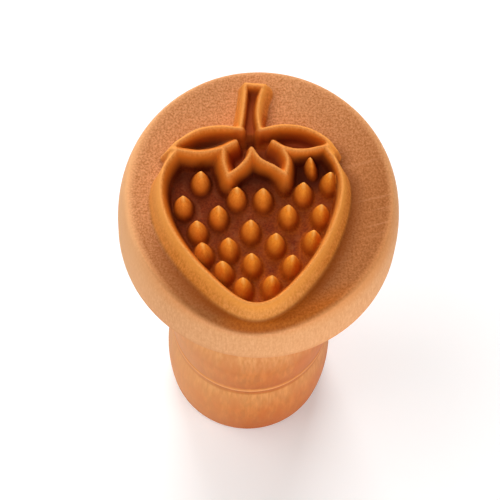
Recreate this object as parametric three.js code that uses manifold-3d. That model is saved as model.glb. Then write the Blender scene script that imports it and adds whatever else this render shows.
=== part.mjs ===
// A wooden hand stamp for pressing a pattern into clay. It stands on the end of its handle, face up.
// Three pieces: a turned head whose end-grain face is carved with a strawberry, a turned handle, and the
// fluted dowel pin that is glued into both. Millimetres, +Z up, origin under the middle of the foot.
import * as THREE from "three";
import { mergeVertices } from "three/addons/utils/BufferGeometryUtils.js";
import Module from "manifold-3d";

const wasm = await Module();
wasm.setup();

// Turned head
const HEAD_DIAMETER = 25;
const HEAD_THICKNESS = 7.8;
const HEAD_LOWER_EDGE = 0.6; // easing of the edge under the head
const SIDE_BAND = 1.9; // upright band above that edge
const FACE_INSET = 0.9; // how far the side rounds in from the band up to the face

// Turned handle, from the foot up
const HANDLE_LENGTH = 39;
const FOOT_DIAMETER = 15.4; // just above its lower edge
const FOOT_EDGE = 0.45; // easing of the edge that meets the table
const FOOT_SWELL = 0.4; // how far the foot's side swells between its ends
const BEAD_HEIGHT = 13.75; // height of the bead's middle above the table
const BEAD_WIDTH = 0.6;
const BEAD_PROUD = 0.28; // how far the bead stands out of the creases beside it
const CREASE_DIAMETER = 15; // above and below the bead
const BELLY_DIAMETER = 15.8;
const BELLY_ABOVE_BEAD = 5.7; // from the bead's middle up to the belly's widest place
const BELLY_TUCK = 1.5; // how far up from the bead the belly still curves in
const NECK_DIAMETER = 11.4;
const NECK_BELOW_HEAD = 8.3; // from the head's underside down to the slimmest place
const COLLAR_DIAMETER = 14.4; // where the handle meets the head
const COVE_REACH = 5; // how far up from the slimmest place the cove stays slim

// Fluted dowel pin that joins the two
const DOWEL_DIAMETER = 6;
const DOWEL_LENGTH = 20;
const DOWEL_CHAMFER = 0.6;
const FLUTE_COUNT = 12;
const FLUTE_DIAMETER = 1;
const FLUTE_DEPTH = 0.25;
const GLUE_CLEARANCE = 0.1; // round the dowel
const GLUE_POCKET = 0.5; // past each end of the dowel
const WOOD_OVER_BORE = 2.3; // between the head's bore and its face

// Carving on the face
const RELIEF_HEIGHT = 2.2;
const RIDGE_CREST = 0.4; // width of a ridge's rounded crest
const RIDGE_SPREAD = 1; // how far each flank runs out from crest to ground
const STALK_SPREAD = 0.5; // the same for the stalk's slimmer ridges
const CARVING_SHIFT = -0.74; // the drawing sits left of the turning's axis
const CARVING_MARGIN = 0.6; // least width between the carving's foot and the head's side
const SEED_WIDTH = 1.75;
const SEED_LENGTH = 2.3;
const SEED_TIP = 0.45; // how far a seed's tip stands from its middle, towards the stalk
const SEED_DROP = 0.15; // how far a seed's tip stays below the ridges
const ROOT = 0.5; // how deep the carved forms are rooted in the head

// Facets
const TURNING_SEGMENTS = 72;
const DOWEL_SEGMENTS = 48;
const FLUTE_SEGMENTS = 10;
const SEED_SEGMENTS = 12;
const POST_SEGMENTS = 12;
const RIDGE_STEP = 0.6; // length of one facet along a ridge
const SECTION_LEVELS = [0, 0.4, 0.75, 0.93]; // shares of the relief's height
const EDGE_STEPS = 3; // along a small eased edge
const CURVE_STEPS = 7; // along a long turned curve

const headRadius = HEAD_DIAMETER / 2;
const faceRadius = headRadius - FACE_INSET;
const faceHeight = HANDLE_LENGTH + HEAD_THICKNESS;
const dowelRadius = DOWEL_DIAMETER / 2;
const boreRadius = dowelRadius + GLUE_CLEARANCE;
const boreTop = faceHeight - WOOD_OVER_BORE;
const dowelTop = boreTop - GLUE_POCKET;
const dowelBottom = dowelTop - DOWEL_LENGTH;

// Strawberry drawing, looking down on the face, x to the right and y towards the stalk, before the shift.
// Each ridge is a smooth curve through its points.
const point = (x, y) => new THREE.Vector3(x, y, 0);

const PETAL_TIP_LEFT = point(-2.05, 1.2);
const PETAL_TIP_RIGHT = point(2.95, 1.3);
const CROWN_PEAK = point(0.07, 3.8);
const STALK_TOP_LEFT = point(-0.2, 9.68);
const STALK_TOP_RIGHT = point(1.22, 9.5);

const BERRY_RIDGES = {
  outline: [
    point(-6.5, 3.6), point(-7.5, 2.2), point(-7.88, 0.4), point(-7.47, -1.9), point(-6.3, -4.6),
    point(-3.9, -7.65), point(-1.3, -10.15), point(0.25, -10.65), point(1.8, -10.25), point(4.2, -8.15),
    point(6.2, -5.4), point(7.5, -1.95), point(7.95, 0.4), point(7.6, 2.3), point(6.65, 3.65),
  ],
  leftLeafUpper: [
    point(-7.4, 3.25), point(-6.2, 4.5), point(-4.6, 5.5), point(-2.7, 5.8), point(-0.75, 5.6),
  ],
  leftLeafLower: [point(-6.8, 3.75), point(-4.5, 3.44), point(-2.7, 3.8), point(-1.3, 4.42)],
  leftPetal: [point(-2.4, 3.75), point(-2.33, 2.5), PETAL_TIP_LEFT],
  leftArm: [PETAL_TIP_LEFT, point(-0.9, 2.2), point(-0.25, 3.05), CROWN_PEAK],
  rightArm: [CROWN_PEAK, point(0.85, 2.8), point(1.95, 2.1), PETAL_TIP_RIGHT],
  rightPetal: [point(2.95, 3.65), point(3.15, 2.6), PETAL_TIP_RIGHT],
  rightLeafLower: [point(1.9, 4.32), point(2.9, 3.72), point(4.5, 3.45), point(6.7, 3.85)],
  rightLeafUpper: [
    point(0.75, 5.4), point(2.9, 5.78), point(4.9, 5.5), point(6.4, 4.55), point(7.3, 3.4),
  ],
};

const STALK_RIDGES = {
  left: [point(-0.85, 5.5), point(-0.52, 7), STALK_TOP_LEFT],
  right: [point(0.85, 5.4), point(0.56, 6.8), point(0.78, 8.3), STALK_TOP_RIGHT],
  end: [STALK_TOP_LEFT, STALK_TOP_RIGHT],
};

const RIDGES = [
  ...Object.values(BERRY_RIDGES).map((points) => ({ points, spread: RIDGE_SPREAD })),
  ...Object.values(STALK_RIDGES).map((points) => ({ points, spread: STALK_SPREAD })),
];

// Each seed's middle, the degrees by which its upper end leans to the left, and its size as a share.
const seed = (x, y, lean, size = 1) => ({ place: point(x, y), lean: THREE.MathUtils.degToRad(lean), size });

const SEEDS = [
  seed(-4.4, 1.05, 0), seed(5.25, 2.45, 12, 0.8), seed(6.9, 0.85, -12, 0.95), seed(4.5, -0.1, 0),
  seed(-1.3, -0.45, 0), seed(1, -0.6, 2), seed(-5.95, -1.2, 2), seed(-2.9, -2.15, 3), seed(3.15, -2.15, 1),
  seed(5.97, -2.15, -3), seed(-4.7, -3.5, 14), seed(-0.15, -3.5, 0), seed(5.17, -4.5, -10), seed(2, -4.75, 0),
  seed(-2.05, -5.1, 10), seed(-4.25, -5.5, 17), seed(-0.1, -6.55, 8), seed(3.27, -6.75, -10),
  seed(-2.55, -7.2, 17), seed(1.5, -8.6, -5), seed(-0.9, -8.75, 6),
];

// Half the width of a ridge at a share of its height: the flanks flare at the foot and end in a round crest.
const FLANK_FLARE = 1.1;
const CREST_SHARPNESS = 8;
const ridgeHalfWidth = (share, spread) =>
  spread * (1 - share) ** FLANK_FLARE + (RIDGE_CREST / 2) * Math.sqrt(1 - share ** CREST_SHARPNESS);

// Half the width of a seed at a share of its height: a full pip with a rounded tip.
const PIP_FULLNESS = 1.7;
const seedHalfWidth = (share) => (SEED_WIDTH / 2) * (1 - share ** PIP_FULLNESS);

// The drawing is scaled to fill the head up to the margin.
const drawingReach = Math.max(
  ...RIDGES.flatMap(({ points }) => points).map((p) => Math.hypot(p.x + CARVING_SHIFT, p.y)),
);
const drawingScale = (headRadius - CARVING_MARGIN - ridgeHalfWidth(0, RIDGE_SPREAD)) / drawingReach;
const onFace = (p) =>
  new THREE.Vector3((p.x + CARVING_SHIFT) * drawingScale, p.y * drawingScale, faceHeight);

// A closed geometry as a solid for joining and cutting, and back.
function solid(geometry) {
  const bare = geometry.clone();
  bare.deleteAttribute("normal");
  bare.deleteAttribute("uv");
  const merged = mergeVertices(bare, 1e-5);
  return new wasm.Manifold(
    new wasm.Mesh({
      numProp: 3,
      vertProperties: merged.attributes.position.array,
      triVerts: new Uint32Array(merged.index.array),
    }),
  );
}

function geometryOf(manifold) {
  const mesh = manifold.getMesh();
  const geometry = new THREE.BufferGeometry();
  geometry.setAttribute("position", new THREE.BufferAttribute(mesh.vertProperties, 3));
  geometry.setIndex(new THREE.BufferAttribute(mesh.triVerts, 1));
  const faceted = geometry.toNonIndexed();
  faceted.computeVertexNormals();
  return faceted;
}

// A profile of radius over height, turned about the Z axis. Points that repeat are left out.
const at = (radius, height) => new THREE.Vector2(radius, height);

function turned(profile, segments) {
  const points = profile.filter((p, i) => i === 0 || p.distanceTo(profile[i - 1]) > 1e-6);
  return new THREE.LatheGeometry(points, segments).rotateX(Math.PI / 2);
}

function bend(from, control, to, divisions) {
  return new THREE.QuadraticBezierCurve(from, control, to).getPoints(divisions);
}

// One carved ridge, swept along its line.
function ridge({ points, spread }) {
  const line = new THREE.CatmullRomCurve3(points.map(onFace), false, "centripetal");
  const foot = at(ROOT, ridgeHalfWidth(0, spread));
  const flank = SECTION_LEVELS.map((share) => at(-RELIEF_HEIGHT * share, ridgeHalfWidth(share, spread)));
  const half = [foot, ...flank];
  const otherHalf = half.map((p) => at(p.x, -p.y)).reverse();
  const section = new THREE.Shape([...half, at(-RELIEF_HEIGHT, 0), ...otherHalf]);
  return new THREE.ExtrudeGeometry(section, {
    steps: Math.max(2, Math.round(line.getLength() / RIDGE_STEP)),
    bevelEnabled: false,
    extrudePath: line,
  });
}

// A round upright form on the face.
function upright(halfWidth, height, segments) {
  const profile = [
    at(0, -ROOT),
    at(halfWidth(0), -ROOT),
    ...SECTION_LEVELS.map((share) => at(halfWidth(share), height * share)),
    at(0, height),
  ];
  return turned(profile, segments);
}

// The places where ridges end, each once.
function ridgeEnds() {
  const ends = RIDGES.flatMap(({ points, spread }) => [
    { end: points[0], spread },
    { end: points[points.length - 1], spread },
  ]);
  return ends.filter(({ end }, i) => ends.findIndex((other) => other.end.equals(end)) === i);
}

// The rounded end of a ridge.
function post({ end, spread }) {
  const place = onFace(end);
  const halfWidth = (share) => ridgeHalfWidth(share, spread);
  return upright(halfWidth, RELIEF_HEIGHT, POST_SEGMENTS).translate(place.x, place.y, place.z);
}

// A pip that leans towards the stalk.
function pip({ place, lean, size }) {
  const height = RELIEF_HEIGHT - SEED_DROP;
  const lengthen = SEED_LENGTH / SEED_WIDTH;
  const slant = new THREE.Matrix4().makeShear(0, 0, 0, 0, 0, SEED_TIP / height);
  const middle = onFace(place);
  return upright(seedHalfWidth, height, SEED_SEGMENTS)
    .scale(size, size * lengthen, 1)
    .applyMatrix4(slant)
    .rotateZ(lean)
    .translate(middle.x, middle.y, middle.z);
}

function stampHead() {
  const bandTop = HANDLE_LENGTH + HEAD_LOWER_EDGE + SIDE_BAND;
  const lowerEdge = bend(
    at(headRadius - HEAD_LOWER_EDGE, HANDLE_LENGTH),
    at(headRadius, HANDLE_LENGTH),
    at(headRadius, HANDLE_LENGTH + HEAD_LOWER_EDGE),
    EDGE_STEPS,
  );
  const shoulder = new THREE.EllipseCurve(
    faceRadius, bandTop, headRadius - faceRadius, faceHeight - bandTop, 0, Math.PI / 2,
  ).getPoints(CURVE_STEPS);
  const blank = turned(
    [
      at(0, boreTop),
      at(boreRadius, boreTop),
      at(boreRadius, HANDLE_LENGTH),
      ...lowerEdge,
      ...shoulder,
      at(0, faceHeight),
    ],
    TURNING_SEGMENTS,
  );
  const carved = [...RIDGES.map(ridge), ...ridgeEnds().map(post), ...SEEDS.map(pip)];
  return geometryOf(carved.reduce((joined, form) => joined.add(solid(form)), solid(blank)));
}

function handle() {
  const footRadius = FOOT_DIAMETER / 2;
  const creaseRadius = CREASE_DIAMETER / 2;
  const bellyRadius = BELLY_DIAMETER / 2;
  const neckRadius = NECK_DIAMETER / 2;
  const collarRadius = COLLAR_DIAMETER / 2;
  const beadRadius = creaseRadius + BEAD_PROUD;
  const beadBottom = BEAD_HEIGHT - BEAD_WIDTH / 2;
  const beadTop = BEAD_HEIGHT + BEAD_WIDTH / 2;
  const footMiddle = (FOOT_EDGE + beadBottom) / 2;
  const swellRadius = (footRadius + creaseRadius) / 2 + 2 * FOOT_SWELL; // for the curve's control point
  const bellyHeight = BEAD_HEIGHT + BELLY_ABOVE_BEAD;
  const neckHeight = HANDLE_LENGTH - NECK_BELOW_HEAD;
  const swell = (neckHeight - bellyHeight) / 2;

  const footTop = at(footRadius, FOOT_EDGE);
  const lowerCrease = at(creaseRadius, beadBottom);
  const upperCrease = at(creaseRadius, beadTop);
  const beadMiddle = at(beadRadius, BEAD_HEIGHT);
  const belly = at(bellyRadius, bellyHeight);
  const neck = at(neckRadius, neckHeight);
  const grip = new THREE.CubicBezierCurve(
    belly,
    at(bellyRadius, bellyHeight + swell),
    at(neckRadius, neckHeight - swell),
    neck,
  ).getPoints(CURVE_STEPS);
  const coveControl = at(neckRadius, neckHeight + COVE_REACH);
  const cove = bend(neck, coveControl, at(collarRadius, HANDLE_LENGTH), CURVE_STEPS);
  const profile = [
    at(0, 0),
    ...bend(at(footRadius - FOOT_EDGE, 0), at(footRadius, 0), footTop, EDGE_STEPS),
    ...bend(footTop, at(swellRadius, footMiddle), lowerCrease, CURVE_STEPS),
    ...bend(lowerCrease, at(beadRadius, beadBottom), beadMiddle, EDGE_STEPS),
    ...bend(beadMiddle, at(beadRadius, beadTop), upperCrease, EDGE_STEPS),
    ...bend(upperCrease, at(bellyRadius, beadTop + BELLY_TUCK), belly, CURVE_STEPS),
    ...grip,
    ...cove,
    at(boreRadius, HANDLE_LENGTH),
    at(boreRadius, dowelBottom - GLUE_POCKET),
    at(0, dowelBottom - GLUE_POCKET),
  ];
  return turned(profile, TURNING_SEGMENTS);
}

// The dowel is a chamfered rod with straight flutes that let the glue escape.
function dowelPin() {
  const rod = turned(
    [
      at(0, dowelBottom),
      at(dowelRadius - DOWEL_CHAMFER, dowelBottom),
      at(dowelRadius, dowelBottom + DOWEL_CHAMFER),
      at(dowelRadius, dowelTop - DOWEL_CHAMFER),
      at(dowelRadius - DOWEL_CHAMFER, dowelTop),
      at(0, dowelTop),
    ],
    DOWEL_SEGMENTS,
  );
  const fluteRadius = FLUTE_DIAMETER / 2;
  const fluteOffset = dowelRadius - FLUTE_DEPTH + fluteRadius;
  const dowelMiddle = (dowelBottom + dowelTop) / 2;
  let pin = solid(rod);
  for (let i = 0; i < FLUTE_COUNT; i += 1) {
    const angle = ((i + 0.5) / FLUTE_COUNT) * 2 * Math.PI;
    const cutter = new THREE.CylinderGeometry(fluteRadius, fluteRadius, 2 * DOWEL_LENGTH, FLUTE_SEGMENTS)
      .rotateX(Math.PI / 2)
      .translate(fluteOffset * Math.cos(angle), fluteOffset * Math.sin(angle), dowelMiddle);
    pin = pin.subtract(solid(cutter));
  }
  return geometryOf(pin);
}

const headWood = new THREE.MeshStandardMaterial({ color: 0xd08a52, roughness: 0.6, metalness: 0 });
const handleWood = new THREE.MeshStandardMaterial({ color: 0xdc9358, roughness: 0.45, metalness: 0 });
const dowelWood = new THREE.MeshStandardMaterial({ color: 0xdcc09a, roughness: 0.7, metalness: 0 });

const stamp = new THREE.Group();

function piece(name, geometry, material) {
  const mesh = new THREE.Mesh(geometry, material);
  mesh.name = name;
  stamp.add(mesh);
}

piece("stamp_head", stampHead(), headWood);
piece("handle", handle(), handleWood);
piece("dowel_pin", dowelPin(), dowelWood);

export default stamp;
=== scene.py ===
"""Looks of a small wooden clay stamp: a turned head carved with a strawberry, on a turned handle."""
import math

import bpy
import numpy as np
from mathutils import Matrix, Vector

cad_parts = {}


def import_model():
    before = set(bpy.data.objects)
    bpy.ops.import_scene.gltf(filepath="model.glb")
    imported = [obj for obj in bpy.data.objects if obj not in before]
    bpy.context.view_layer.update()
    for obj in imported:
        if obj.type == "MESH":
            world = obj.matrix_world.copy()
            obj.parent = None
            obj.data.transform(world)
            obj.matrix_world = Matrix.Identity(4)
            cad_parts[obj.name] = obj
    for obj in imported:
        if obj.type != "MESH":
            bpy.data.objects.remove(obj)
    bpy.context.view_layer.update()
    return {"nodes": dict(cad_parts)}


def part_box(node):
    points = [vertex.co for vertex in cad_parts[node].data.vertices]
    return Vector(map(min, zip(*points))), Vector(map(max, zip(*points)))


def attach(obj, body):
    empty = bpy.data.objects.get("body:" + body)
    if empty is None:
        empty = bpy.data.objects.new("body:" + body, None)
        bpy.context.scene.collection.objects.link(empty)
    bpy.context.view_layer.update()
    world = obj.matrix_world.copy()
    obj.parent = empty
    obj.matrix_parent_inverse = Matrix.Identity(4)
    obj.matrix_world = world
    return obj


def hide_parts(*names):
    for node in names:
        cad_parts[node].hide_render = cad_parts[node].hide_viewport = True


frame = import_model()

MM = 0.001  # metres; sizes and places are in millimetres unless they say otherwise

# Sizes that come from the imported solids
head_low, head_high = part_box("stamp_head")
dowel_low, dowel_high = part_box("dowel_pin")
SEAT = head_low.z / MM  # where the head sits on the handle
CREST = head_high.z / MM
HEAD_RADIUS = head_high.x / MM
DOWEL_RADIUS = dowel_high.x / MM

# Turned head
LOWER_EDGE = 0.6  # easing of the edge under the head
SIDE_BAND = 1.9  # upright band above that edge
FACE_INSET = 0.9  # how far the side rounds in from the band up to the face

# Where the face's end grain gives way to the side's grain, as a length past the face's edge
GRAIN_BORDER = 0.1
# On the left the pale side tone reaches further onto the face: painted light where the light falls on the
# rim
GRAIN_LEFT = -0.35  # added on the left
GRAIN_RIGHT = -0.12  # added on the right
GRAIN_TIP = 1.4  # added under the berry's tip
GRAIN_TIP_ANGLE = -98  # degrees from +X to the berry's tip
GRAIN_TIP_NARROWNESS = 8
GRAIN_FADE = 0.8  # width over which one grain fades into the other

# Turned handle
FOOT_RADIUS = 7.7
FOOT_EDGE = 0.45
FOOT_SWELL = 0.4  # how far the foot's side bulges
BEAD_HEIGHT = 13.4
BEAD_WIDTH = 0.6
BEAD_PROUD = 0.2
CREASE_RADIUS = 7.52
BEAD_STEP = 0.07  # from the belly up to the bead
BELLY_RADIUS = 7.9
BELLY_ABOVE_BEAD = 5.7
BELLY_TUCK = 2.2  # how far above the bead the belly's curve is drawn in
NECK_RADIUS = 5.7
NECK_BELOW_HEAD = 8.3
COLLAR_RADIUS = 7.2
COVE_REACH = 5.0  # how far up from the neck the cove under the collar is drawn

# Bores for the dowel
GLUE_CLEARANCE = 0.1
GLUE_POCKET = 0.5

# Carving
RELIEF_HEIGHT = 2.2
CREST_WIDTH = 0.3
CREST_ROUNDING = 0.4  # how gradually a crest turns into its flanks, as a share of the relief
CORNER_BLEND = 0.15  # how softly flanks run into each other, as a share of the relief
FLANK_FLARE = 1.05  # above 1, flanks are a little hollow
PLAIN_LEVEL = -2.5  # a flank's level well past its foot
CARVING_SHIFT = -0.74  # of the drawing along x
CARVING_SCALE = 1.0036  # from the drawing to the carving

# How far a flank runs out from crest to ground inside the drawing
LEAF_SPREADS = ((-8, 0.95), (0, 0.9), (3, 0.68), (7, 0.6))  # in and under the leaves: at which x, how far
BERRY_SPREADS = ((-8, 0.75), (7, 0.45))  # further down in the berry: at which x, how far
BERRY_TOP = 1.0  # y where the berry's turn into the leaves', and the length over which they do
STALK_SPREAD = 0.5  # in the groove of the stalk
GROOVE_FADE = 1.2  # length over which the groove opens into the leaves
STALK_GROUND = 0.42  # height of the groove's ground, as a share of the relief
ARM_BACK = 0.4  # behind the calyx's arms, on the side away from the berry
END_SPREAD = 0.3  # past the inner ends of the leaves' lower lines
END_STEPS = 4  # along a line, to find which way it ends
PETAL_TIP_SPREAD = 1.35  # below the petals' tips
PETAL_TIP_WIDTH = 1.1  # how far to each side of a tip that holds
PETAL_TIP_RISE = 1.8  # height over which it sets in, with the tip in its middle
PETAL_TIP_REACH = 2  # how many of these heights below a tip it ends

# How far a flank runs out outside the drawing, at its left and right end: at which y, how far
DRAWING_ENDS = (-8, 7)  # x
LEFT_SPREADS = (
    (-11, 0.95), (-9.5, 1.12), (-6, 1.08), (-3, 1.04), (0, 0.96), (0.9, 0.82), (1.5, 0.67), (2.1, 0.34),
    (2.9, 0.3), (3.5, 0.65), (5, 0.55), (6.6, 0.85), (9.5, 0.6),
)
RIGHT_SPREADS = (
    (-11, 0.77), (-9.5, 0.95), (-6, 0.92), (-3, 0.87), (0, 0.78), (1.2, 0.76), (1.9, 0.62), (2.5, 0.4),
    (3.2, 0.55), (4.2, 0.5), (5, 0.37),
)
STALK_RIGHT = 0.8  # on the stalk's right side
STALK_RISE = 0.9  # how far above the leaves that sets in, and the length over which it does

LEAF_TIP_DROP = 0.3  # how far a leaf's outer tip drops, as a share of the relief
LEAF_TIP_LENGTH = 1.2  # length over which it drops

SEED_WIDTH = 1.95
SEED_LENGTH = 2.4
SEED_TIP = 0.42  # how far the tip sits from the seed's middle towards its upper end, as a share
SEED_ROUNDING = 0.3  # of a seed's tip, as a share of the way to its foot
SEED_CREASE = 0.22  # how steeply a seed falls off beside its middle line, as a share of the relief
SEED_DROP = 0.15  # how far a seed's tip stays below the ridges
SEED_FOOT = 0.1  # how softly a seed runs into the ground, as a share of the relief

# Mesh density
HEAD_SPOKES = 600
FACE_RINGS = 118
HANDLE_SPOKES = 192
EDGE_STEPS = 6
CURVE_STEPS = 16
LINE_STEP = 0.15  # along a drawn line
BATCH = 4000  # places that are worked on at a time
TINY = 1e-9  # keeps a divisor clear of zero

face_height = CREST - RELIEF_HEIGHT
face_radius = HEAD_RADIUS - FACE_INSET
bore_radius = DOWEL_RADIUS + GLUE_CLEARANCE
bore_top = dowel_high.z / MM + GLUE_POCKET
bore_bottom = dowel_low.z / MM - GLUE_POCKET
bead_bottom = BEAD_HEIGHT - BEAD_WIDTH / 2
bead_top = BEAD_HEIGHT + BEAD_WIDTH / 2

# Strawberry drawing, looking down on the face, x to the right and y towards the stalk, before the shift
PETAL_TIP_LEFT = (-2.05, 1.2)
PETAL_TIP_RIGHT = (2.95, 1.3)
CROWN_PEAK = (0.04, 3.7)
STALK_TOP_LEFT = (-0.32, 9.74)
STALK_TOP_RIGHT = (1.23, 9.55)

RIDGES = {
    "berry": [
        (-6.5, 3.6), (-7.5, 2.2), (-7.9, 0.4), (-7.66, -1.95), (-6.45, -4.68),
        (-4.03, -7.77), (-1.33, -10.17), (0.22, -10.6), (1.75, -10.17), (4.09, -8.05),
        (6.06, -5.32), (7.48, -1.95), (7.85, 0.4), (7.42, 2.25), (6.6, 3.62),
    ],
    "left_leaf_upper": [(-0.75, 5.53), (-2.7, 5.73), (-4.57, 5.43), (-6.2, 4.46), (-7.35, 3.5)],
    "left_leaf_tip": [(-6.6, 3.9), (-7.15, 3.2)],
    "left_leaf_lower": [(-6.8, 3.75), (-4.5, 3.38), (-2.7, 3.71), (-1.3, 4.38)],
    "left_petal": [(-2.4, 3.75), (-2.4, 2.5), PETAL_TIP_LEFT],
    "left_arm": [PETAL_TIP_LEFT, (-0.86, 2.15), (-0.2, 3.0), CROWN_PEAK],
    "right_arm": [CROWN_PEAK, (0.76, 2.69), (1.9, 2.03), PETAL_TIP_RIGHT],
    "right_petal": [(2.78, 3.65), (3.18, 2.6), PETAL_TIP_RIGHT],
    "right_leaf_lower": [(6.7, 3.85), (4.5, 3.45), (2.9, 3.72), (1.9, 4.32)],
    "right_leaf_upper": [(0.75, 5.4), (2.9, 5.78), (4.9, 5.47), (6.45, 4.58), (7.5, 3.45)],
    "right_leaf_tip": [(6.65, 4), (7.25, 3.2)],
    "left_stalk": [(-0.92, 5.5), (-0.65, 7), STALK_TOP_LEFT],
    "right_stalk": [(0.82, 5.4), (0.66, 6.8), (0.84, 8.3), STALK_TOP_RIGHT],
    "stalk_end": [STALK_TOP_LEFT, STALK_TOP_RIGHT],
}

# Each seed's middle and its lean in degrees, positive leaning its upper end to the left
SEEDS = [
    (-4.4, 1.05, 0), (4.5, -0.1, 0), (-1.3, -0.45, 0), (1, -0.6, 2), (-5.95, -1.2, 2), (-2.9, -2.15, 3),
    (3.15, -2.15, 1), (5.97, -2.15, -3), (-4.7, -3.5, 14), (-0.15, -3.5, 0), (5.17, -4.5, -10),
    (2, -4.75, 0), (-2.05, -5.1, 10), (-4.25, -5.5, 17), (-0.1, -6.55, 8), (3.27, -6.75, -10),
    (-2.55, -7.2, 17), (1.5, -8.6, -5), (-0.9, -8.75, 6),
]
# The small seeds at the upper right: middle and lean, then width and length as shares of the others'
SMALL_SEEDS = [(5.25, 2.3, 12, 0.64, 0.9), (6.8, 0.85, -7, 0.95, 0.98)]


def soft_max(a, b, blend):
    """The larger of two values, with the corner between them rounded over the width blend."""
    return np.maximum(a, b) + np.maximum(blend - np.abs(a - b), 0) ** 2 / (4 * blend)


def soft_min(a, b, blend):
    """The smaller of two values, rounded in the same way."""
    return -soft_max(-a, -b, blend)


def on_face(points):
    """Drawn points as places on the face."""
    return (np.array(points, float) + (CARVING_SHIFT, 0)) * CARVING_SCALE


def smooth_line(points):
    """Places along a smooth curve through the points, a centripetal Catmull-Rom spline."""
    first = 2 * points[0] - points[1]
    last = 2 * points[-1] - points[-2]
    knots = np.vstack([first, points, last])
    places = []
    for a, b, c, d in zip(knots, knots[1:], knots[2:], knots[3:]):
        t1 = math.dist(a, b) ** 0.5
        t2 = t1 + math.dist(b, c) ** 0.5
        t3 = t2 + math.dist(c, d) ** 0.5
        steps = max(1, round(math.dist(b, c) / LINE_STEP))
        t = np.linspace(t1, t2, steps, endpoint=False)[:, None]
        ab = ((t1 - t) * a + t * b) / t1
        bc = ((t2 - t) * b + (t - t1) * c) / (t2 - t1)
        cd = ((t3 - t) * c + (t - t2) * d) / (t3 - t2)
        ac = ((t2 - t) * ab + t * bc) / t2
        bd = ((t3 - t) * bc + (t - t1) * cd) / (t3 - t1)
        places.append(((t2 - t) * ac + (t - t1) * bd) / (t2 - t1))
    return np.vstack([*places, points[-1:]])


def drawn_lines():
    """The middle line of every ridge, on the face."""
    return {name: smooth_line(on_face(points)) for name, points in RIDGES.items()}


def in_batches(work, places):
    """The result of work on all the places, done a batch at a time to save memory."""
    return np.concatenate([work(places[i:i + BATCH]) for i in range(0, len(places), BATCH)])


def distance_to_line(places, line):
    """How far each place is from the nearest place on a line."""
    start = line[:-1]
    way = line[1:] - start

    def work(batch):
        offset = batch[:, None] - start
        share = np.clip((offset * way).sum(-1) / (way ** 2).sum(-1), 0, 1)
        gap = offset - share[..., None] * way
        return np.sqrt((gap ** 2).sum(-1).min(1))

    return in_batches(work, places)


def inside_outline(places, outline):
    """True for the places that lie inside a closed outline."""
    start = outline
    end = np.roll(outline, -1, axis=0)

    def work(batch):
        x, y = batch[:, :1], batch[:, 1:]
        spans = (start[:, 1] > y) != (end[:, 1] > y)
        rise = np.where(start[:, 1] == end[:, 1], 1, end[:, 1] - start[:, 1])
        crossing = start[:, 0] + (y - start[:, 1]) / rise * (end[:, 0] - start[:, 0])
        return (spans & (x < crossing)).sum(1) % 2 == 1

    return in_batches(work, places)


def outer_outline(lines):
    """The closed outline round berry, leaves and stalk, without the leaves' outer tips."""
    berry = lines["berry"]
    left_leaf = lines["left_leaf_upper"]
    right_leaf = lines["right_leaf_upper"]
    return np.vstack([
        berry,
        right_leaf[right_leaf[:, 0] < berry[-1, 0]][::-1],
        lines["right_stalk"],
        lines["left_stalk"][::-1],
        left_leaf[left_leaf[:, 0] > berry[0, 0]],
    ])


def in_calyx(places, lines):
    """True for the places between the calyx's petals, its arms and the inner ends of the leaves."""
    return inside_outline(places, np.vstack([
        lines["left_petal"],
        lines["left_arm"],
        lines["right_arm"],
        lines["right_petal"][::-1],
        lines["right_leaf_lower"][-1:],
        lines["left_leaf_lower"][-1:],
    ]))


def before_arms(places, lines):
    """True for the places on the berry's side of the calyx's arms."""
    arms = np.vstack([lines["left_arm"], lines["right_arm"]])
    below = arms[[-1, 0]] - (0, HEAD_RADIUS)
    return inside_outline(places, np.vstack([arms, below]))


def in_groove(places, lines):
    """1 in the stalk's groove, falling to 0 beside the stalk and below it."""
    x, y = places.T
    stalk = np.vstack([lines["left_stalk"], lines["right_stalk"]])
    left, foot = stalk.min(0)
    right = stalk[:, 0].max()
    off_middle = np.abs(x - (left + right) / 2) / (right - left)
    return np.clip(2 - 2 * off_middle, 0, 1) * np.clip((y - foot) / GROOVE_FADE + 1, 0, 1)


def beside_stalk(places, lines):
    """1 on the right of the stalk, falling to 0 towards its left and down to the leaves."""
    x, y = places.T
    foot = lines["right_stalk"][0, 1]
    left = lines["left_stalk"][:, 0].max()
    right = lines["right_stalk"][:, 0].min()
    return np.clip((x - left) / (right - left), 0, 1) * np.clip((y - foot) / STALK_RISE - 1, 0, 1)


def below_tips(places):
    """1 just below the petals' tips, falling to 0 beside them, above them and further down."""
    share = np.zeros(len(places))
    for tip in on_face([PETAL_TIP_LEFT, PETAL_TIP_RIGHT]):
        x, y = (places - tip).T
        rise = y / PETAL_TIP_RISE
        beside = np.exp(-(x / PETAL_TIP_WIDTH) ** 2)
        share += beside * np.clip(0.5 - rise, 0, 1) * np.clip(PETAL_TIP_REACH + rise, 0, 1)
    return share


def inner_spread(places, groove, calyx):
    """How far a flank inside the drawing runs out from crest to ground at each place."""
    x, y = places.T
    under_leaves = np.clip((y - BERRY_TOP) / BERRY_TOP, 0, 1)
    berry = np.interp(x, *zip(*BERRY_SPREADS))
    leaf = np.interp(x, *zip(*LEAF_SPREADS))
    spread = berry + (leaf - berry) * under_leaves
    spread += (STALK_SPREAD - spread) * groove
    spread += (PETAL_TIP_SPREAD - spread) * below_tips(places) * ~calyx
    return spread


def outer_spread(places, lines):
    """How far a flank outside the drawing runs out from crest to ground at each place."""
    x, y = places.T
    left = np.interp(y, *zip(*LEFT_SPREADS))
    right = np.interp(y, *zip(*RIGHT_SPREADS))
    spread = left + (right - left) * np.interp(x, DRAWING_ENDS, (0, 1))
    spread += (STALK_RIGHT - spread) * beside_stalk(places, lines)
    return spread


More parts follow.
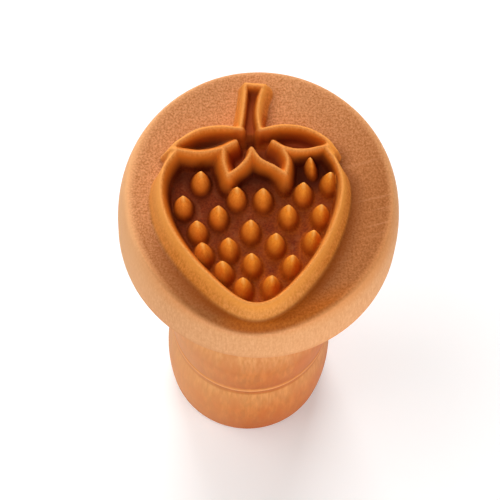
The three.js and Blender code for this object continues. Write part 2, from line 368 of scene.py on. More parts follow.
def past_end(places, line):
    """1 straight past a line's last place, falling to 0 beside it and before it."""
    way = line[-1] - line[-END_STEPS]
    offset = places - line[-1]
    reach = np.maximum(np.hypot(*offset.T) * np.hypot(*way), TINY)
    return np.clip(offset @ way / reach, 0, 1)


def towards_end(places, line, length):
    """0 along a line up to the given length before its last place, rising to 1 at that place."""
    way = line[-1] - line[-END_STEPS]
    return np.clip(1 + (places - line[-1]) @ way / (np.hypot(*way) * length), 0, 1)


def ridge_level(distance, spread):
    """1 at a crest's edge, more on the crest, 0 at the foot of its flank and below 0 past that."""
    beyond = distance - CREST_WIDTH / 2
    return 1 - np.where(beyond > 0, beyond / spread, beyond)


def line_level(places, name, lines, spread):
    """The level of one line's ridge, steeper behind the arms and past the leaves' inner ends."""
    line = lines[name]
    if name.endswith("arm"):
        spread = np.where(before_arms(places, lines), spread, ARM_BACK)
    if name.endswith("leaf_lower"):
        spread = spread + (END_SPREAD - spread) * past_end(places, line)
    level = ridge_level(distance_to_line(places, line), spread)
    if name.endswith(("leaf_upper", "leaf_tip")):
        level -= LEAF_TIP_DROP * towards_end(places, line, LEAF_TIP_LENGTH)
    return level


def seed_share(places, seed):
    """A seed's height at each place as a share of the relief, below 0 past its foot."""
    x, y, lean, width, length = seed
    middle = on_face([(x, y)])[0]
    angle = math.radians(lean)
    across = np.array([math.cos(angle), math.sin(angle)])
    upper = np.array([-math.sin(angle), math.cos(angle)])
    offset = places - middle
    side = offset @ across / (width * SEED_WIDTH / 2)
    up = offset @ upper / (length * SEED_LENGTH / 2) - SEED_TIP
    from_tip = side ** 2 + up ** 2
    towards = up * SEED_TIP
    to_foot = np.sqrt(towards ** 2 + from_tip * (1 - SEED_TIP ** 2)) - towards
    way_down = from_tip / np.maximum(to_foot, TINY)  # 0 at the tip, 1 at the foot
    rounded = np.hypot(way_down, SEED_ROUNDING) - SEED_ROUNDING
    at_foot = math.hypot(1, SEED_ROUNDING) - SEED_ROUNDING
    tall = 1 - SEED_DROP / RELIEF_HEIGHT
    crease = SEED_CREASE * np.abs(side) * np.clip(1 - way_down, 0, 1)
    return tall * (1 - rounded / at_foot) - crease


def carving(places):
    """What the carving is like at each place.

    rise is the height as a share of the relief. inside is true within the drawing, and calyx in the calyx.
    level is the height on the nearest ridge's flank, below 0 past its foot, and seed_level is the same for
    the nearest seed. seed is 1 on the seeds.
    """
    lines = drawn_lines()
    inside = inside_outline(places, outer_outline(lines))
    calyx = in_calyx(places, lines)
    groove = in_groove(places, lines)
    spread = np.where(inside, inner_spread(places, groove, calyx), outer_spread(places, lines))
    level = np.full(len(places), PLAIN_LEVEL)
    for name in lines:
        level = soft_max(level, line_level(places, name, lines, spread), CORNER_BLEND)
    crest_level = ridge_level(0, 1)
    rounded = soft_min(level, 1, CREST_ROUNDING) / soft_min(crest_level, 1, CREST_ROUNDING)
    share = np.clip(rounded, 0, 1) ** FLANK_FLARE
    share = np.maximum(share, STALK_GROUND * groove * inside)
    all_seeds = [(*seed, 1, 1) for seed in SEEDS] + SMALL_SEEDS
    seeds = np.max([seed_share(places, seed) for seed in all_seeds], axis=0)
    return {
        "rise": soft_max(share, seeds, SEED_FOOT),
        "inside": inside,
        "calyx": calyx,
        "level": level,
        "seed": np.clip((seeds - share) / SEED_FOOT, 0, 1),
        "seed_level": np.maximum(seeds, PLAIN_LEVEL),
    }


def bend(start, control, end, steps):
    """Places along a quadratic curve, both ends included."""
    t = np.linspace(0, 1, steps + 1)[:, None]
    return (1 - t) ** 2 * np.array(start) + 2 * t * (1 - t) * np.array(control) + t ** 2 * np.array(end)


def ease(start, start_control, end_control, end, steps):
    """Places along a cubic curve, both ends included."""
    t = np.linspace(0, 1, steps + 1)[:, None]
    first = (1 - t) ** 3 * np.array(start) + 3 * t * (1 - t) ** 2 * np.array(start_control)
    return first + 3 * t ** 2 * (1 - t) * np.array(end_control) + t ** 3 * np.array(end)


def spoke_angles(spokes):
    return np.arange(spokes) * 2 * math.pi / spokes


def rings_of(profile, spokes):
    """Rings of places about the Z axis, one for each radius and height of the profile."""
    angle = spoke_angles(spokes)
    radius = profile[:, :1]
    height = np.repeat(profile[:, 1:], spokes, axis=1)
    return np.stack([radius * np.cos(angle), radius * np.sin(angle), height], axis=-1)


def ring_mesh(name, rings, first, last):
    """A closed mesh: rings joined by quads, and a fan to one place at each end. The first fan looks up."""
    count, spokes = rings.shape[:2]
    places = np.vstack([rings.reshape(-1, 3), first, last]) * MM
    index = np.arange(count * spokes).reshape(count, spokes)
    following = np.roll(index, -1, axis=1)
    quads = np.stack([index[:-1], index[1:], following[1:], following[:-1]], axis=-1).reshape(-1, 4)
    first_index = count * spokes
    last_index = first_index + 1
    opening = [(first_index, a, b) for a, b in zip(index[0].tolist(), following[0].tolist())]
    closing = [(last_index, b, a) for a, b in zip(index[-1].tolist(), following[-1].tolist())]
    mesh = bpy.data.meshes.new(name)
    mesh.from_pydata(places.tolist(), [], quads.tolist() + opening + closing)
    mesh.shade_smooth()
    return mesh


def store(mesh, name, values):
    """Keeps one number for each vertex, for a material to read."""
    attribute = mesh.attributes.new(name, "FLOAT", "POINT")
    attribute.data.foreach_set("value", np.asarray(values, np.float32))


def head_profile():
    """Radius and height of each ring from the face's middle to the bore, and how many are carved."""
    band_top = SEAT + LOWER_EDGE + SIDE_BAND
    face = np.column_stack([
        np.linspace(0, face_radius, FACE_RINGS + 1)[1:],
        np.full(FACE_RINGS, face_height),
    ])
    turn = np.linspace(math.pi / 2, 0, CURVE_STEPS + 1)[1:]
    shoulder = np.column_stack([
        face_radius + FACE_INSET * np.cos(turn),
        band_top + (face_height - band_top) * np.sin(turn),
    ])
    edge_top = (HEAD_RADIUS, SEAT + LOWER_EDGE)
    edge_end = (HEAD_RADIUS - LOWER_EDGE, SEAT)
    edge = bend(edge_top, (HEAD_RADIUS, SEAT), edge_end, EDGE_STEPS)
    bore = [(bore_radius, SEAT), (bore_radius, bore_top)]
    return np.vstack([face, shoulder, edge, bore]), len(face) + len(shoulder)


def end_grain_share(profile):
    """1 on the face's end grain, falling to 0 on the side's, along the rings of a profile."""
    steps = np.hypot(*np.diff(profile, axis=0).T)
    past_edge = np.concatenate([[0], np.cumsum(steps)]) + profile[0, 0] - face_radius
    angle = spoke_angles(HEAD_SPOKES)
    off_tip = angle - math.radians(GRAIN_TIP_ANGLE)
    border = GRAIN_BORDER + GRAIN_TIP * np.clip(np.cos(off_tip), 0, 1) ** GRAIN_TIP_NARROWNESS
    border += np.where(np.cos(angle) < 0, GRAIN_LEFT, GRAIN_RIGHT) * np.cos(angle) ** 2
    return np.clip((border - past_edge[:, None]) / GRAIN_FADE + 0.5, 0, 1).ravel()


def head_mesh():
    profile, carved_rings = head_profile()
    rings = rings_of(profile, HEAD_SPOKES)
    middle = np.zeros((1, 2))
    carved = carving(np.vstack([rings[:carved_rings, :, :2].reshape(-1, 2), middle]))
    carved["end_grain"] = np.append(end_grain_share(profile[:carved_rings]), 1)
    height = RELIEF_HEIGHT * carved["rise"]
    rings[:carved_rings, :, 2] += height[:-1].reshape(carved_rings, HEAD_SPOKES)
    mesh = ring_mesh("head", rings, (0, 0, face_height + height[-1]), (0, 0, bore_top))
    below = (len(profile) - carved_rings) * HEAD_SPOKES
    for name, values in carved.items():
        plain = PLAIN_LEVEL if name.endswith("level") else 0
        store(mesh, name, np.concatenate([values[:-1], np.full(below, plain), values[-1:], [plain]]))
    return mesh


def handle_mesh():
    bead_radius = CREASE_RADIUS + BEAD_PROUD
    foot_middle = (FOOT_EDGE + bead_bottom) / 2
    swell_radius = (FOOT_RADIUS + CREASE_RADIUS) / 2 + 2 * FOOT_SWELL
    belly_height = BEAD_HEIGHT + BELLY_ABOVE_BEAD
    neck_height = SEAT - NECK_BELOW_HEAD
    swell = (neck_height - belly_height) / 2
    collar = (COLLAR_RADIUS, SEAT)
    neck = (NECK_RADIUS, neck_height)
    neck_low = (NECK_RADIUS, neck_height - swell)
    belly_high = (BELLY_RADIUS, belly_height + swell)
    belly = (BELLY_RADIUS, belly_height)
    upper_crease = (bead_radius - BEAD_STEP, bead_top)
    bead_middle = (bead_radius, BEAD_HEIGHT)
    lower_crease = (CREASE_RADIUS, bead_bottom)
    foot_low = (FOOT_RADIUS, FOOT_EDGE)
    bore = [(bore_radius, bore_bottom), (bore_radius, SEAT)]
    cove = bend(collar, (NECK_RADIUS, neck_height + COVE_REACH), neck, CURVE_STEPS)
    grip = ease(neck, neck_low, belly_high, belly, CURVE_STEPS)
    tuck = bend(belly, (BELLY_RADIUS, bead_top + BELLY_TUCK), upper_crease, CURVE_STEPS)
    bead_upper = bend(upper_crease, (bead_radius, bead_top), bead_middle, EDGE_STEPS)
    bead_lower = bend(bead_middle, (bead_radius, bead_bottom), lower_crease, EDGE_STEPS)
    foot = bend(lower_crease, (swell_radius, foot_middle), foot_low, CURVE_STEPS)
    edge = bend(foot_low, (FOOT_RADIUS, 0), (FOOT_RADIUS - FOOT_EDGE, 0), EDGE_STEPS)
    profile = np.vstack([
        bore, cove, grip[1:], tuck[1:], bead_upper[1:], bead_lower[1:], foot[1:], edge[1:],
    ])
    rings = rings_of(profile, HANDLE_SPOKES)
    return ring_mesh("grip", rings, (0, 0, bore_bottom), (0, 0, 0))


def place_piece(name, mesh, node, material):
    piece = bpy.data.objects.new(name, mesh)
    bpy.context.scene.collection.objects.link(piece)
    mesh.materials.append(material)
    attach(piece, "root")
    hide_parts(node)


# Sockets of the Mix node that hold colours
MIX_INPUTS = (0, 6, 7)  # share, first and second colour
MIX_RESULT = 2


def colour(tone):
    """A tone on the screen's scale of 0 to 255, as the linear colour that shaders take."""
    def linear(level):
        value = level / 255
        return value / 12.92 if value <= 0.04045 else ((value + 0.055) / 1.055) ** 2.4
    return (*map(linear, tone), 1)


def feed(tree, socket, value):
    """Sets a socket to a value, or links another socket to it."""
    if isinstance(value, bpy.types.NodeSocket):
        tree.links.new(value, socket)
    else:
        socket.default_value = value


def shader_node(tree, kind, inputs=(), **settings):
    made = tree.nodes.new("ShaderNode" + kind)
    for name, value in settings.items():
        setattr(made, name, value)
    for name, value in dict(inputs).items():
        feed(tree, made.inputs[name], value)
    return made


def blended(tree, share, first, second):
    """From the first colour to the second by a share."""
    made = shader_node(tree, "Mix", data_type="RGBA")
    for place, value in zip(MIX_INPUTS, (share, first, second)):
        feed(tree, made.inputs[place], value)
    return made.outputs[MIX_RESULT]


def ranged(tree, value, low, high, to_low=0.0, to_high=1.0):
    """A value brought from one range to another, and kept in it."""
    made = shader_node(tree, "MapRange", {
        "Value": value, "From Min": low, "From Max": high, "To Min": to_low, "To Max": to_high,
    })
    return made.outputs["Result"]


def combined(tree, operation, first, others):
    """The first value, joined to each of the others in turn by a sum, product or the like."""
    for other in others:
        made = shader_node(tree, "Math", operation=operation)
        feed(tree, made.inputs[0], first)
        feed(tree, made.inputs[1], other)
        first = made.outputs[0]
    return first


def product(tree, first, *others):
    return combined(tree, "MULTIPLY", first, others)


def largest(tree, first, *others):
    return combined(tree, "MAXIMUM", first, others)


def along(tree, way):
    """How far each place lies along a way across the object, in millimetres."""
    place = shader_node(tree, "TexCoord").outputs["Object"]
    made = shader_node(tree, "VectorMath", operation="DOT_PRODUCT")
    feed(tree, made.inputs[0], place)
    made.inputs[1].default_value = [part / MM for part in way]
    return made.outputs["Value"]


def noise(tree, size, detail=2.0, stretch=(1, 1, 1), turn=0.0, roughness=0.5):
    """Cloudy noise whose lumps are about size millimetres wide, stretched along each axis.

    A turn, in degrees, takes the axes round the object's own axis.
    """
    place = shader_node(tree, "TexCoord").outputs["Object"]
    turned = shader_node(tree, "Mapping", {"Vector": place, "Rotation": (0, 0, -math.radians(turn))})
    scaled = shader_node(tree, "Mapping", {
        "Vector": turned.outputs["Vector"], "Scale": [1 / part for part in stretch],
    })
    made = shader_node(tree, "TexNoise", {
        "Vector": scaled.outputs["Vector"],
        "Scale": 1 / (size * MM),
        "Detail": detail,
        "Roughness": roughness,
    })
    return made.outputs["Fac"]


# Gauges that tones depend on: ways across the object, in millimetres from its origin
WAYS = {
    "x": (1, 0, 0),  # to the right of the drawing
    "y": (0, 1, 0),  # towards its stalk
    "z": (0, 0, 1),
    "to_tip": (0.25, -0.97, 0),  # of the berry
    "to_low_left": (-0.45, -0.9, 0),
    "to_shade": (0.9, -0.45, 0),  # to the right and a little down, away from the light
    # Along this way the hollows' ground is also painted paler towards the front, as painted light
    "across_rings": (0.62, -0.78, 0),  # of growth, from the paler to the darker wood
}
# Gauges from 0 to 1: patterns in the wood
PATTERNS = {
    "pores": {"size": 0.19, "stretch": (1, 1, 3), "roughness": 0.6},
    "growth": {"size": 0.4, "stretch": (16, 1, 16), "turn": 15},
    "streaks": {"size": 0.14, "stretch": (1, 1, 14)},
    "patches": {"size": 1.0, "detail": 3, "roughness": 0.6},
    "fibres": {"size": 0.3, "detail": 3, "stretch": (1, 1, 12)},
    "clouds": {"size": 1.5, "detail": 3, "stretch": (1, 1, 5), "roughness": 0.6},
    "specks": {"size": 0.45, "detail": 3, "stretch": (1, 1, 5), "roughness": 0.6},
    "dowel_fibres": {"size": 0.25, "detail": 3, "stretch": (1, 1, 40)},
}


class Wood:
    """A material whose tones change over the surface, within limits.

    A limit names a gauge, where a tone starts on it and where it is full. It may end with the tone's share
    at these two places, which otherwise is 0 and 1. A gauge is a way, a pattern or a number that the mesh
    stores.
    """

    def __init__(self, name):
        self.material = bpy.data.materials.new(name)
        self.material.use_nodes = True
        self.tree = self.material.node_tree
        self.shader = self.tree.nodes["Principled BSDF"]
        self.gauges = {}

    def new_gauge(self, name):
        if name in WAYS:
            return along(self.tree, WAYS[name])
        if name in PATTERNS:
            return noise(self.tree, **PATTERNS[name])
        return shader_node(self.tree, "Attribute", attribute_name=name).outputs["Fac"]

    def gauge(self, name):
        if name not in self.gauges:
            self.gauges[name] = self.new_gauge(name)
        return self.gauges[name]

    def share(self, *limits):
        """What all the limits together let through, from 0 to 1."""
        shares = [ranged(self.tree, self.gauge(name), *span) for name, *span in limits]
        return product(self.tree, *shares)

    def mixed(self, first, second, *limits):
        """From one colour to another within limits."""
        return blended(self.tree, self.share(*limits), first, second)

    def grained(self, tones, *limits):
        """From a dark to a pale tone within limits."""
        dark, pale = tones
        return self.mixed(colour(dark), colour(pale), *limits)

    def layered(self, base, layers):
        """A colour with layers of tone laid over it, one after the other, each within its limits."""
        for tone, *limits in layers.values():
            base = self.mixed(base, colour(tone), *limits)
        return base

    def finish(self, tones, gloss):
        feed(self.tree, self.shader.inputs["Base Color"], tones)
        for name, value in gloss.items():
            self.shader.inputs[name].default_value = value

    def roughen(self, pattern, bump):
        made = shader_node(self.tree, "Bump", {"Height": self.gauge(pattern), **bump})
        feed(self.tree, self.shader.inputs["Normal"], made.outputs["Normal"])


# Limits by what the mesh stores, and limits that several layers share
SPECKLE = ("pores", 0.34, 0.66)  # from dark to pale pores
ON_END_GRAIN = ("end_grain", 0, 1)
INSIDE_DRAWING = ("inside", 0, 1)
ON_SEEDS = ("seed", 0, 1)
BELOW_LEAVES = ("y", 3.4, 4.0, 1, 0)
# The hollow's upper right corner, where painted shade darkens ground and walls
UPPER_RIGHT = (("y", 0.1, 1.2), ("x", 2.4, 3.6, 0, 0.85), BELOW_LEAVES)
LEAF_HOLLOWS = ("y", 3.6, 4.4)
STALK_FOOT = (("y", 4.1, 4.5, 0, 0.6), ("y", 5.7, 5.3))

# Face of the head, darker across its growth rings, with painted shade at its low left and beside the
# carving on the shaded side
FACE_BACK = ((183, 113, 63), (223, 155, 104))
FACE_FRONT = ((152, 88, 42), (186, 117, 68))
FACE_CHANGE = ("across_rings", -6, 6)
FACE_LAYERS = {
    "growth lines": ((204, 138, 92), ("growth", 0.58, 0.72), ("across_rings", -2, 4, 0, 0.4)),
    # Darker face at the low left, beside the berry's lower walls: painted shade
    "painted shade at low left": ((144, 78, 32), ("to_low_left", 6.5, 11, 0, 0.5)),
}
BESIDE_CARVING = (("level", -1.9, -0.2), ("to_shade", 2, 7, 0, 0.55), ON_END_GRAIN)
SHADED_FACE_LAYERS = {
    "beside the carving": ((118, 58, 20), *BESIDE_CARVING),
}

# Side of the head, with painted light on the left and painted shade at its lower edge
SIDE = ((232, 164, 108), (243, 181, 127))
LOW_SIDE = 1.2  # how far up it is browner
HIGH_SIDE = 2.4  # how far down from the face it is warmer
LOW_SIDE_LIMIT = ("z", SEAT, SEAT + LOW_SIDE, 0.8, 0)
HIGH_SIDE_LIMIT = ("z", face_height - HIGH_SIDE, face_height - HIGH_SIDE / 4, 0, 0.6)
SIDE_LAYERS = {
    "streaks": ((226, 154, 98), ("streaks", 0.4, 0.65, 0, 0.5)),
    # Paler on the left, where the light falls: painted light
    "left": ((255, 190, 132), ("x", -8.5, -12, 0, 0.8)),
    # Browner at the lower edge, where the side turns under: painted shade
    "lower edge": ((222, 142, 84), LOW_SIDE_LIMIT),
    "under the face": ((232, 150, 82), HIGH_SIDE_LIMIT, ("to_tip", 2, 8, 0.1, 1)),
}

# Outer flanks of the carving, with painted light on the left and towards the tip and painted shade on the
# shaded side, and painted shade on the face at their foot
FLANK = ((212, 122, 44), (236, 148, 66))
# Paler towards the berry's tip, where the front-facing flank catches the light: painted light
TIP_FLANK = ((222, 138, 62), (242, 164, 88))
TIP_CHANGE = ("to_tip", 7.5, 11)
FLANK_LAYERS = {
    "upper part": ((248, 160, 70), ("level", 0.5, 0.85, 0, 0.7)),
    # Paler on the flanks that face the light: painted light
    "left": ((250, 170, 92), ("to_shade", -4, -8, 0, 0.5)),
    "shaded lower part": ((150, 76, 24), ("level", 0, 0.5, 1, 0), ("to_shade", 2, 7, 0, 0.2)),
}
FLANK_START = ("rise", 0, 0.2)
# A dark band where the flanks meet the face: painted shade
FOOT_OF_FLANK = (("level", -0.9, -0.15), ("level", 0, 0.3, 1, 0))
FOOT_LAYERS = {
    "along the foot": ((158, 78, 16), *FOOT_OF_FLANK, ("to_tip", 1, 9, 0.1, 0.8), ON_END_GRAIN),
}
# A dark band on the face under the berry's tip: painted shade
TIP_SHADE_BAND = ((166, 82, 16), (194, 104, 28))
UNDER_TIP = (("level", -0.1, 0.1, 1, 0), ("to_tip", 9.5, 11, 0, 0.75), ON_END_GRAIN)

# Ground inside the drawing: in the open, and darker by the seeds and walls, as painted shade
OPEN_GROUND = ((106, 38, 12), (138, 58, 23))
OPEN_LAYERS = {
    "patches": ((152, 84, 48), ("patches", 0.48, 0.62, 0, 0.6)),
}
# The shaded ground, paler towards the front where painted light reaches into the hollows
BACK_GROUND = ((96, 34, 9), (116, 46, 13))
FRONT_GROUND = ((148, 64, 13), (176, 84, 20))
GROUND_CHANGE = ("across_rings", -2, 6.5)
BY_SEED = ("seed_level", -0.7, -0.05)
BY_WALL = ("level", -0.9, 0)
UPPER_LEFT = (("y", 0, 1.6), ("x", -3.8, -5.8, 0, 0.5), ("level", 0.1, -0.3), BELOW_LEAVES)
UNDER_CALYX = (("y", 0.2, 1.4, 0, 0.7), ("x", -2.2, -1.2), ("x", 1.6, 0.8), BELOW_LEAVES)
GROUND_LAYERS = {
    # The first three layers are painted shade, in the hollow's corners and under the calyx
    "upper left": ((66, 20, 7), *UPPER_LEFT),
    "upper right": ((60, 16, 7), *UPPER_RIGHT),
    "under the calyx": ((70, 22, 9), *UNDER_CALYX),
    "right leaf": ((156, 62, 26), LEAF_HOLLOWS, ("x", 0.5, 2, 0, 0.8)),
    "left leaf": ((150, 82, 46), LEAF_HOLLOWS, ("x", -1.5, -3, 0, 0.6)),
    "calyx": ((158, 72, 32), ("calyx", 0, 1, 0, 0.9)),
}

# Walls inside the drawing, paler on the right
WALL = ((210, 110, 29), (226, 142, 60))
RIGHT_WALL = (("x", 1.5, 5.5), ("y", 1.6, 0.4))
WALL_START = ("rise", 0.2, 0.75)
WALL_TOP = ("rise", 0.75, 1)
STALK_GROOVE = (("y", 4.9, 5.7), ("x", 0.8, 0.2), ("x", -2.2, -1.6))
WALL_LAYERS = {
    # Darker low on the walls of the upper right corner: painted shade
    "upper right": ((90, 32, 9), *UPPER_RIGHT, ("rise", 0.5, 0.85, 0.8, 0)),
    # Darker low in the stalk's groove: painted shade
    "stalk's groove": ((160, 66, 29), *STALK_GROOVE, ("rise", 0.45, 0.85, 0.65, 0)),
    "left of the stalk's foot": ((196, 92, 28), ("x", -2.4, -1.9), ("x", -1.0, -1.35), *STALK_FOOT),
    "right of the stalk's foot": ((196, 92, 28), ("x", -0.45, -0.1), ("x", 1.2, 0.8), *STALK_FOOT),
}

# Seeds, with painted shade at their feet and painted highlights on their tips, and the crests of ridges
# and seeds
BACK_SEED = ((236, 130, 36), (252, 154, 56))
FRONT_SEED = ((244, 142, 38), (255, 164, 54))
SEED_CHANGE = ("across_rings", -3, 5)
# Seeds darken towards their feet: painted shade
SEED_FOOT_LAYERS = {
    "foot": ((192, 92, 20), ("rise", 0.05, 0.35)),
}
SEED_FLANK = ("rise", 0.2, 0.7)
# Pale seed tips: the sanded top, brightened by a painted highlight
SEED_TIP_LAYERS = {
    "tip": ((250, 174, 88), ("rise", 0.76, 0.93)),
}
CREST_LAYERS = {
    "crests": ((240, 164, 96), ("rise", 0.9, 1, 0, 0.4)),
}

HEAD_GLOSS = {"Roughness": 0.6, "Specular IOR Level": 0.05}
HEAD_BUMP = {"Strength": 0.25, "Distance": 0.05 * MM}


def outer_wood(wood, flank):
    """The head outside the drawing: face, side and the carving's outer flanks."""
    back = wood.grained(FACE_BACK, SPECKLE)
    front = wood.grained(FACE_FRONT, SPECKLE)
    face = wood.layered(wood.mixed(back, front, FACE_CHANGE), FACE_LAYERS)
    side = wood.layered(wood.grained(SIDE, SPECKLE), SIDE_LAYERS)
    turned = wood.layered(wood.mixed(side, face, ON_END_GRAIN), SHADED_FACE_LAYERS)
    tip_flank = wood.grained(TIP_FLANK, SPECKLE)
    flanks = wood.layered(wood.mixed(flank, tip_flank, TIP_CHANGE), FLANK_LAYERS)
    outer = wood.layered(wood.mixed(turned, flanks, FLANK_START), FOOT_LAYERS)
    return wood.mixed(outer, wood.grained(TIP_SHADE_BAND, SPECKLE), *UNDER_TIP)


def inner_wood(wood, flank, shaded_ground):
    """Ground and walls inside the drawing."""
    open_ground = wood.layered(wood.grained(OPEN_GROUND, SPECKLE), OPEN_LAYERS)
    # Painted shade on the ground near the seeds and walls
    near = largest(wood.tree, wood.share(BY_SEED), wood.share(BY_WALL))
    ground = blended(wood.tree, near, open_ground, shaded_ground)
    ground = wood.layered(ground, GROUND_LAYERS)
    wall = wood.mixed(wood.grained(WALL, *RIGHT_WALL), flank, WALL_TOP)
    return wood.layered(wood.mixed(ground, wall, WALL_START), WALL_LAYERS)


def seed_wood(wood, shaded_ground):
    back = wood.grained(BACK_SEED, SPECKLE)
    front = wood.grained(FRONT_SEED, SPECKLE)
    orange = wood.mixed(back, front, SEED_CHANGE)
    foot = wood.layered(shaded_ground, SEED_FOOT_LAYERS)
    return wood.layered(wood.mixed(foot, orange, SEED_FLANK), SEED_TIP_LAYERS)


def head_wood():
    """End grain on the face, side grain round the rim, burnished flanks and dark hollows in between, with
    painted shade in the hollows' corners, along the feet of walls and seeds and on the shaded side, and
    painted light on the left and towards the front.
    """
    wood = Wood("carved_wood")
    flank = wood.grained(FLANK, SPECKLE)
    back_ground = wood.grained(BACK_GROUND, SPECKLE)
    front_ground = wood.grained(FRONT_GROUND, SPECKLE)
    shaded_ground = wood.mixed(back_ground, front_ground, GROUND_CHANGE)
    outer = outer_wood(wood, flank)
    inner = inner_wood(wood, flank, shaded_ground)
    carved = wood.mixed(outer, inner, INSIDE_DRAWING)
    carved = wood.mixed(carved, seed_wood(wood, shaded_ground), ON_SEEDS)
    wood.finish(wood.layered(carved, CREST_LAYERS), HEAD_GLOSS)
    wood.roughen("pores", HEAD_BUMP)
    return wood.material


# How far the painted shade and painted light on the handle reach
CREASE_SHADE = 1.2
BELLY_SHADE = 4.0
FOOT_SHADE = 7.5
BELLY_PALE = 19.2  # height from which the belly gets paler
BELLY_PALE_RISE = 3.6  # height over which it does

# Handle: the wood of its middle, and the paler tones of the upper belly and neck and of the foot's top,
# which are painted light where these face up
GRIP = ((208, 122, 54), (220, 134, 66))
GRIP_FIBRES = ("fibres", 0.3, 0.7)
GRIP_LAYERS = {
    "specks": ((194, 116, 56), ("specks", 0.42, 0.6, 0, 0.7)),
    "clouds": ((204, 108, 46), ("clouds", 0.42, 0.6, 0, 0.7)),
}
PALE_FIBRES = ("fibres", 0.35, 0.65)
PALE_CLOUDS = ("clouds", 0.5, 0.62, 0, 0.5)
BELLY = ((224, 150, 90), (244, 178, 118))
BELLY_LAYERS = {
    "clouds": ((222, 144, 86), PALE_CLOUDS),
}
# Paler where the belly faces up: painted light
BELLY_START = ("z", BELLY_PALE, BELLY_PALE + BELLY_PALE_RISE, 0, 0.8)
FOOT = ((218, 150, 86), (244, 180, 112))
FOOT_WOOD_LAYERS = {
    "clouds": ((216, 146, 84), PALE_CLOUDS),
}
shade_top = bead_bottom - CREASE_SHADE
# Paler on the foot's top, below the bead: painted light
FOOT_TOP = (("z", FOOT_SHADE, shade_top, 0, 0.6), ("z", shade_top, bead_bottom - CREASE_SHADE / 2, 1, 0))

# Handle: redder above the bead and towards the table and dark under the bead, as painted shade; pale on
# the bead and on the left, as painted light; darker on the right, as painted shade
ABOVE_BEAD = (("z", bead_top, bead_top + BELLY_SHADE, 0.7, 0), ("z", bead_top, bead_top + BEAD_WIDTH))
# Painted shade above the bead and towards the table
PAINTED_SHADE_LAYERS = {
    "above the bead": ((182, 86, 18), *ABOVE_BEAD),
    "towards the table": ((182, 86, 14), ("z", FOOT_SHADE, 0, 0, 0.85)),
}
bead_start = bead_bottom - BEAD_WIDTH / 2
BELOW_BEAD = (
    ("z", shade_top, bead_bottom - CREASE_SHADE * 0.7, 0, 0.45),
    ("z", bead_start, bead_bottom, 1, 0),
)
ON_BEAD = (("z", bead_start, bead_bottom), ("z", BEAD_HEIGHT, bead_top + BEAD_WIDTH / 2, 0.85, 0))
# Painted shade below the bead and on the right, painted light on the bead and on the left
BEAD_LIGHT_AND_SHADE_LAYERS = {
    "below the bead": ((190, 96, 38), *BELOW_BEAD),
    "on the bead": ((246, 172, 108), *ON_BEAD),
    "left": ((250, 176, 108), ("x", 0, -7, 0, 0.5)),
    "right": ((200, 116, 60), ("x", 1, 6, 0, 0.3)),
}
HANDLE_GLOSS = {"Roughness": 0.45, "Specular IOR Level": 0.04}
HANDLE_BUMP = {"Strength": 0.06, "Distance": 0.03 * MM}


def handle_wood():
    """Smooth, finely sanded side grain with a satin finish, with painted shade in the creases beside the
    bead, towards the table and on the right, and painted light on the upper belly, the foot's top, the
    bead and the left.
    """
    wood = Wood("turned_wood")
    grip = wood.layered(wood.grained(GRIP, GRIP_FIBRES), GRIP_LAYERS)
    belly = wood.layered(wood.grained(BELLY, PALE_FIBRES), BELLY_LAYERS)
    foot = wood.layered(wood.grained(FOOT, PALE_FIBRES), FOOT_WOOD_LAYERS)
    turned = wood.layered(wood.mixed(grip, belly, BELLY_START), PAINTED_SHADE_LAYERS)
    turned = wood.layered(wood.mixed(turned, foot, *FOOT_TOP), BEAD_LIGHT_AND_SHADE_LAYERS)
    wood.finish(turned, HANDLE_GLOSS)
    wood.roughen("fibres", HANDLE_BUMP)
    return wood.material


DOWEL = ((206, 172, 128), (228, 202, 164))
DOWEL_GRAIN = ("dowel_fibres", 0.35, 0.65)
DOWEL_GLOSS = {"Roughness": 0.7}


def dowel_wood():
    """Bare, pale hardwood with fine straight grain."""
    wood = Wood("bare_wood")
    wood.finish(wood.grained(DOWEL, DOWEL_GRAIN), DOWEL_GLOSS)
    return wood.material


FLOOR_HALF = 0.2  # metres, well within the ring of lamps
FLOOR_ALBEDO = 0.92
FLOOR_LIFT = 0.2  # what the seen floor adds to its lit colour to reach white
WHITE = (1, 1, 1, 1)


def background_rays(tree):
    """1 for rays that show the background itself, straight or in a reflection, and 0 for light."""
    path = shader_node(tree, "LightPath").outputs
    return largest(tree, path["Is Camera Ray"], path["Is Glossy Ray"], path["Is Transmission Ray"])


def floor():
    mesh = bpy.data.meshes.new("floor")
    corners = [(-1, -1), (1, -1), (1, 1), (-1, 1)]
    mesh.from_pydata([(x * FLOOR_HALF, y * FLOOR_HALF, 0) for x, y in corners], [], [(0, 1, 2, 3)])
    made = bpy.data.objects.new("floor", mesh)
    bpy.context.scene.collection.objects.link(made)
    material = bpy.data.materials.new("white_floor")
    material.use_nodes = True
    tree = material.node_tree
    tree.nodes.clear()
    lit = shader_node(tree, "BsdfDiffuse", {"Color": (FLOOR_ALBEDO, FLOOR_ALBEDO, FLOOR_ALBEDO, 1)})
    glow = shader_node(tree, "Emission", {"Strength": product(tree, background_rays(tree), FLOOR_LIFT)})
    total = shader_node(tree, "AddShader")
    tree.links.new(lit.outputs[0], total.inputs[0])
    tree.links.new(glow.outputs[0], total.inputs[1])
    output = shader_node(tree, "OutputMaterial")
    tree.links.new(total.outputs[0], output.inputs["Surface"])
    mesh.materials.append(material)


def world():
    made = bpy.data.worlds.new("studio")
    bpy.context.scene.world = made
    made.use_nodes = True
    tree = made.node_tree
    background = tree.nodes["Background"]
    feed(tree, background.inputs["Strength"], background_rays(tree))
    background.inputs["Color"].default_value = WHITE


LAMP_DISTANCE = 0.45  # metres
LAMP_SIZE = 0.28  # metres
LAMP_AIM = Vector((0, 0, 0.03))  # metres
# Soft lamps all round, as in a light tent: degrees clockwise from the back, degrees up, and watts
LAMPS = {
    "back": (0, 32, 1.7),
    "left": (272, 64, 0.75),
    "back_left": (315, 66, 0.32),
    "low_left": (260, 14, 0.18),
    "front": (182, 15, 0.92),
    "right": (120, 15, 0.85),
}


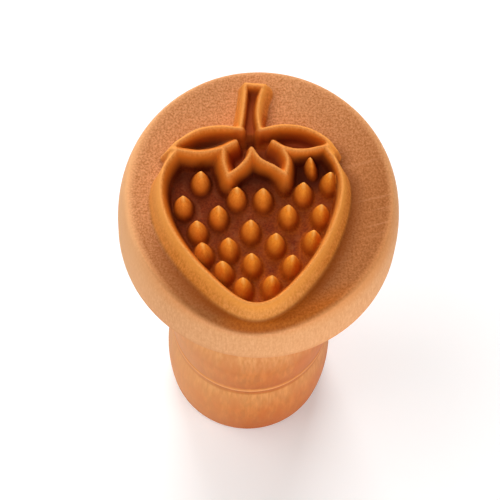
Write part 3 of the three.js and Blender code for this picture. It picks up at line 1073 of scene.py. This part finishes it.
def soft_lamp(name, turn, height, power):
    turn = math.radians(turn)
    height = math.radians(height)
    level = math.cos(height)
    way = Vector((level * math.sin(turn), level * math.cos(turn), math.sin(height)))
    lamp = bpy.data.lights.new(name, "AREA")
    lamp.size = LAMP_SIZE
    lamp.energy = power
    made = bpy.data.objects.new(name, lamp)
    made.location = LAMP_AIM + LAMP_DISTANCE * way
    made.rotation_euler = way.to_track_quat("Z", "Y").to_euler()
    made.visible_camera = False
    bpy.context.scene.collection.objects.link(made)


PHOTO_SIDE = 500  # pixels
FACE_PIXEL = (259.9, 196.3)  # where the middle of the face shows
FOCAL_PIXELS = 2970
SENSOR_WIDTH = 36
CLIP_START = 0.01  # metres
CAMERA_DISTANCE = 0.26  # metres, to the middle of the face
CAMERA_ELEVATION = math.radians(69.33)
CAMERA_ROLL = math.radians(-4.63)
CAMERA_TURN = math.radians(-5.73)  # round the object


def camera():
    """Looks down on the face at the photograph's angle, with the middle of the face at its pixel."""
    look = Vector((0, math.cos(CAMERA_ELEVATION), -math.sin(CAMERA_ELEVATION)))
    side = Vector((1, 0, 0))
    level = Matrix((side, side.cross(look), -look))
    rolled = Matrix.Rotation(CAMERA_ROLL, 3, "Z") @ level
    middle = PHOTO_SIDE / 2
    right = (FACE_PIXEL[0] - middle) / FOCAL_PIXELS
    up = (middle - FACE_PIXEL[1]) / FOCAL_PIXELS
    off_axis = Vector((right, up, -1))
    aimed = Vector((0, 0, -1)).rotation_difference(off_axis).to_matrix() @ rolled
    turn = Matrix.Rotation(CAMERA_TURN, 3, "Z")
    pose = (turn @ aimed.transposed()).to_4x4()
    pose.translation = turn @ (Vector((0, 0, face_height * MM)) - look * CAMERA_DISTANCE)
    made = bpy.data.objects.new("camera", bpy.data.cameras.new("camera"))
    made.data.sensor_width = SENSOR_WIDTH
    made.data.lens = FOCAL_PIXELS / PHOTO_SIDE * SENSOR_WIDTH
    made.data.clip_start = CLIP_START
    made.matrix_world = pose
    bpy.context.scene.collection.objects.link(made)
    bpy.context.scene.camera = made


camera()
place_piece("carved_head", head_mesh(), "stamp_head", head_wood())
place_piece("turned_handle", handle_mesh(), "handle", handle_wood())
dowel = frame["nodes"]["dowel_pin"]
dowel.data.materials.clear()
dowel.data.materials.append(dowel_wood())
floor()
world()
for name, setting in LAMPS.items():
    soft_lamp(name, *setting)

bpy.context.scene.view_settings.view_transform = "Standard"
